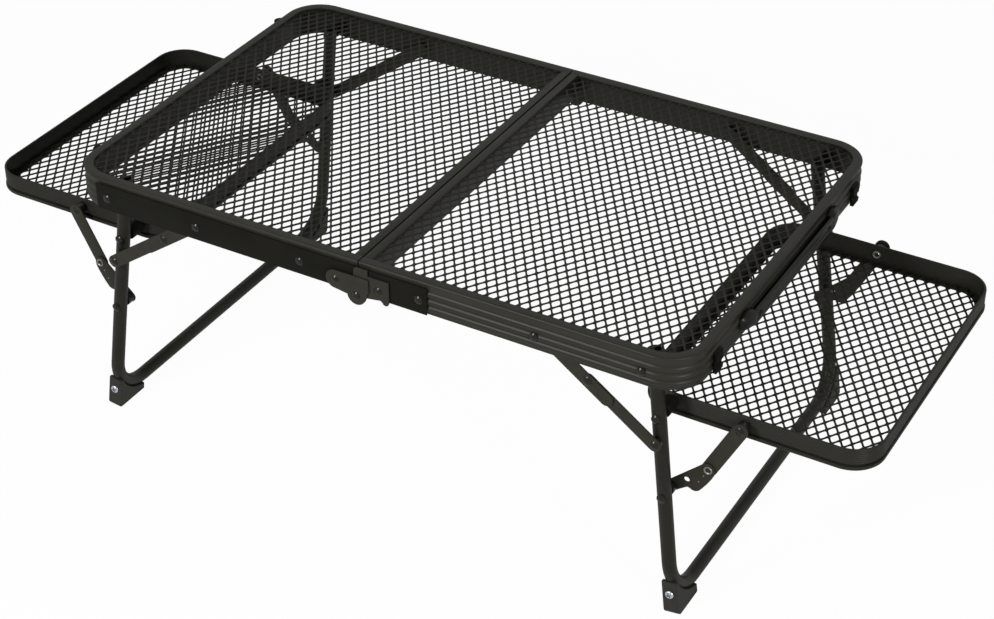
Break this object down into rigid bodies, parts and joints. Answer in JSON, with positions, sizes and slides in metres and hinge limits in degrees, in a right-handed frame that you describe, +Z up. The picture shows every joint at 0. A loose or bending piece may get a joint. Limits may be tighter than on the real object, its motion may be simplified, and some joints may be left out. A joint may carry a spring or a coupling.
{
  "type": "folding camp table",
  "caption": "Low folding camp table with rimmed expanded-metal halves, U-shaped tube legs that fold in, and a drop-down wing tray at each end.",
  "frame": {"origin": "on the floor, under the middle of the table's seam, the table standing open", "axes": "+X along the table towards the half with the carry handle, -Y to the front, +Z up"},
  "size_m": [0.902, 0.4042, 0.2725],
  "materials": {
    "rim_coat": "charcoal satin powder coat on extruded aluminium",
    "plate_coat": "charcoal satin powder coat on flat strip",
    "net_coat": "charcoal satin powder coat on expanded sheet",
    "wing_coat": "charcoal satin powder coat on the wing trays' rails",
    "tube_coat": "charcoal satin powder coat on round tube",
    "stay_coat": "charcoal satin powder coat on pressed links and leaves",
    "rivet_coat": "darkened metal, glossier than the coat",
    "foot_plastic": "black moulded plastic",
    "handle_plastic": "black moulded plastic",
    "screw_steel": "bright plated steel"
  },
  "bodies": {
    "left_half": {"left_rim": "rim_coat", "left_crossbar": "rim_coat", "left_top_net": "net_coat", "left_front_side_plate": "plate_coat", "left_back_side_plate": "plate_coat", "left_front_seam_leaf": "stay_coat", "left_back_seam_leaf": "stay_coat", "left_front_leg_pivot_pin": "rivet_coat", "left_back_leg_pivot_pin": "rivet_coat", "left_front_latch_knob": "handle_plastic", "left_back_latch_knob": "handle_plastic", "seam_front_pin": "rivet_coat", "seam_back_pin": "rivet_coat"},
    "left_leg": {"left_leg_tube": "tube_coat", "left_front_foot": "foot_plastic", "left_back_foot": "foot_plastic", "left_front_foot_screw": "screw_steel", "left_back_foot_screw": "screw_steel", "left_front_wing_pivot_pin": "rivet_coat", "left_back_wing_pivot_pin": "rivet_coat"},
    "left_wing": {"left_wing_rail": "wing_coat", "left_wing_net": "net_coat"},
    "left_leg_stay_uppers": {"left_front_leg_stay_upper": "stay_coat", "left_back_leg_stay_upper": "stay_coat"},
    "left_leg_stay_lowers": {"left_front_leg_stay_lower": "stay_coat", "left_back_leg_stay_lower": "stay_coat"},
    "left_wing_stay_bars": {"left_front_wing_stay_bar": "stay_coat", "left_back_wing_stay_bar": "stay_coat"},
    "left_wing_stay_plates": {"left_front_wing_stay_plate": "stay_coat", "left_back_wing_stay_plate": "stay_coat"},
    "right_half": {"right_rim": "rim_coat", "right_crossbar": "rim_coat", "right_top_net": "net_coat", "right_front_side_plate": "plate_coat", "right_back_side_plate": "plate_coat", "right_front_seam_leaf": "stay_coat", "right_back_seam_leaf": "stay_coat", "right_front_leg_pivot_pin": "rivet_coat", "right_back_leg_pivot_pin": "rivet_coat", "right_front_latch_hook": "handle_plastic", "right_back_latch_hook": "handle_plastic", "carry_handle": "handle_plastic"},
    "right_leg": {"right_leg_tube": "tube_coat", "right_front_foot": "foot_plastic", "right_back_foot": "foot_plastic", "right_front_foot_screw": "screw_steel", "right_back_foot_screw": "screw_steel", "right_front_wing_pivot_pin": "rivet_coat", "right_back_wing_pivot_pin": "rivet_coat"},
    "right_wing": {"right_wing_rail": "wing_coat", "right_wing_net": "net_coat"},
    "right_leg_stay_uppers": {"right_front_leg_stay_upper": "stay_coat", "right_back_leg_stay_upper": "stay_coat"},
    "right_leg_stay_lowers": {"right_front_leg_stay_lower": "stay_coat", "right_back_leg_stay_lower": "stay_coat"},
    "right_wing_stay_bars": {"right_front_wing_stay_bar": "stay_coat", "right_back_wing_stay_bar": "stay_coat"},
    "right_wing_stay_plates": {"right_front_wing_stay_plate": "stay_coat", "right_back_wing_stay_plate": "stay_coat"}
  },
  "joints": [
    {"name": "seam_fold", "type": "hinge", "parent": "left_half", "child": "right_half", "pos_m": [0, 0, 0.24], "axis": [0, 1, 0], "range_deg": [0, 100]},
    {"name": "right_leg_fold", "type": "hinge", "parent": "right_half", "child": "right_leg", "pos_m": [0.2665, 0, 0.2535], "axis": [0, 1, 0], "range_deg": [0, 97.6]},
    {"name": "right_wing_drop", "type": "hinge", "parent": "right_leg", "child": "right_wing", "pos_m": [0.27403, 0, 0.1971], "axis": [0, 1, 0], "range_deg": [0, 82.45]},
    {"name": "right_leg_stay_upper_turn", "type": "hinge", "parent": "right_half", "child": "right_leg_stay_uppers", "pos_m": [0.169, 0, 0.2535], "axis": [0, 1, 0], "range_deg": [0, 144.37]},
    {"name": "right_leg_stay_lower_turn", "type": "hinge", "parent": "right_leg", "child": "right_leg_stay_lowers", "pos_m": [0.27683, 0, 0.17609], "axis": [0, 1, 0], "range_deg": [-133.33, 0]},
    {"name": "right_wing_stay_bar_turn", "type": "hinge", "parent": "right_wing", "child": "right_wing_stay_bars", "pos_m": [0.3402, 0, 0.1965], "axis": [0, 1, 0], "range_deg": [-119.97, 0]},
    {"name": "right_wing_stay_plate_turn", "type": "hinge", "parent": "right_leg", "child": "right_wing_stay_plates", "pos_m": [0.28429, 0, 0.12018], "axis": [0, 1, 0], "range_deg": [0, 121.36]},
    {"name": "left_leg_fold", "type": "hinge", "parent": "left_half", "child": "left_leg", "pos_m": [-0.2665, 0, 0.2535], "axis": [0, -1, 0], "range_deg": [0, 97.6]},
    {"name": "left_wing_drop", "type": "hinge", "parent": "left_leg", "child": "left_wing", "pos_m": [-0.27403, 0, 0.1971], "axis": [0, -1, 0], "range_deg": [0, 82.45]},
    {"name": "left_leg_stay_upper_turn", "type": "hinge", "parent": "left_half", "child": "left_leg_stay_uppers", "pos_m": [-0.169, 0, 0.2535], "axis": [0, -1, 0], "range_deg": [0, 144.37]},
    {"name": "left_leg_stay_lower_turn", "type": "hinge", "parent": "left_leg", "child": "left_leg_stay_lowers", "pos_m": [-0.27683, 0, 0.17609], "axis": [0, -1, 0], "range_deg": [-133.33, 0]},
    {"name": "left_wing_stay_bar_turn", "type": "hinge", "parent": "left_wing", "child": "left_wing_stay_bars", "pos_m": [-0.3402, 0, 0.1965], "axis": [0, -1, 0], "range_deg": [-119.97, 0]},
    {"name": "left_wing_stay_plate_turn", "type": "hinge", "parent": "left_leg", "child": "left_wing_stay_plates", "pos_m": [-0.28429, 0, 0.12018], "axis": [0, -1, 0], "range_deg": [0, 121.36]}
  ],
  "couplings": [
    {"joint": "right_wing_drop", "follows": "right_leg_fold", "ratio": 0.84426},
    {"joint": "right_leg_stay_upper_turn", "follows": "right_leg_fold", "ratio": 1.4787},
    {"joint": "right_leg_stay_lower_turn", "follows": "right_leg_fold", "ratio": -1.3655},
    {"joint": "right_wing_stay_bar_turn", "follows": "right_leg_fold", "ratio": -1.2286},
    {"joint": "right_wing_stay_plate_turn", "follows": "right_leg_fold", "ratio": 1.2429},
    {"joint": "left_wing_drop", "follows": "left_leg_fold", "ratio": 0.84426},
    {"joint": "left_leg_stay_upper_turn", "follows": "left_leg_fold", "ratio": 1.4787},
    {"joint": "left_leg_stay_lower_turn", "follows": "left_leg_fold", "ratio": -1.3655},
    {"joint": "left_wing_stay_bar_turn", "follows": "left_leg_fold", "ratio": -1.2286},
    {"joint": "left_wing_stay_plate_turn", "follows": "left_leg_fold", "ratio": 1.2429}
  ]
}
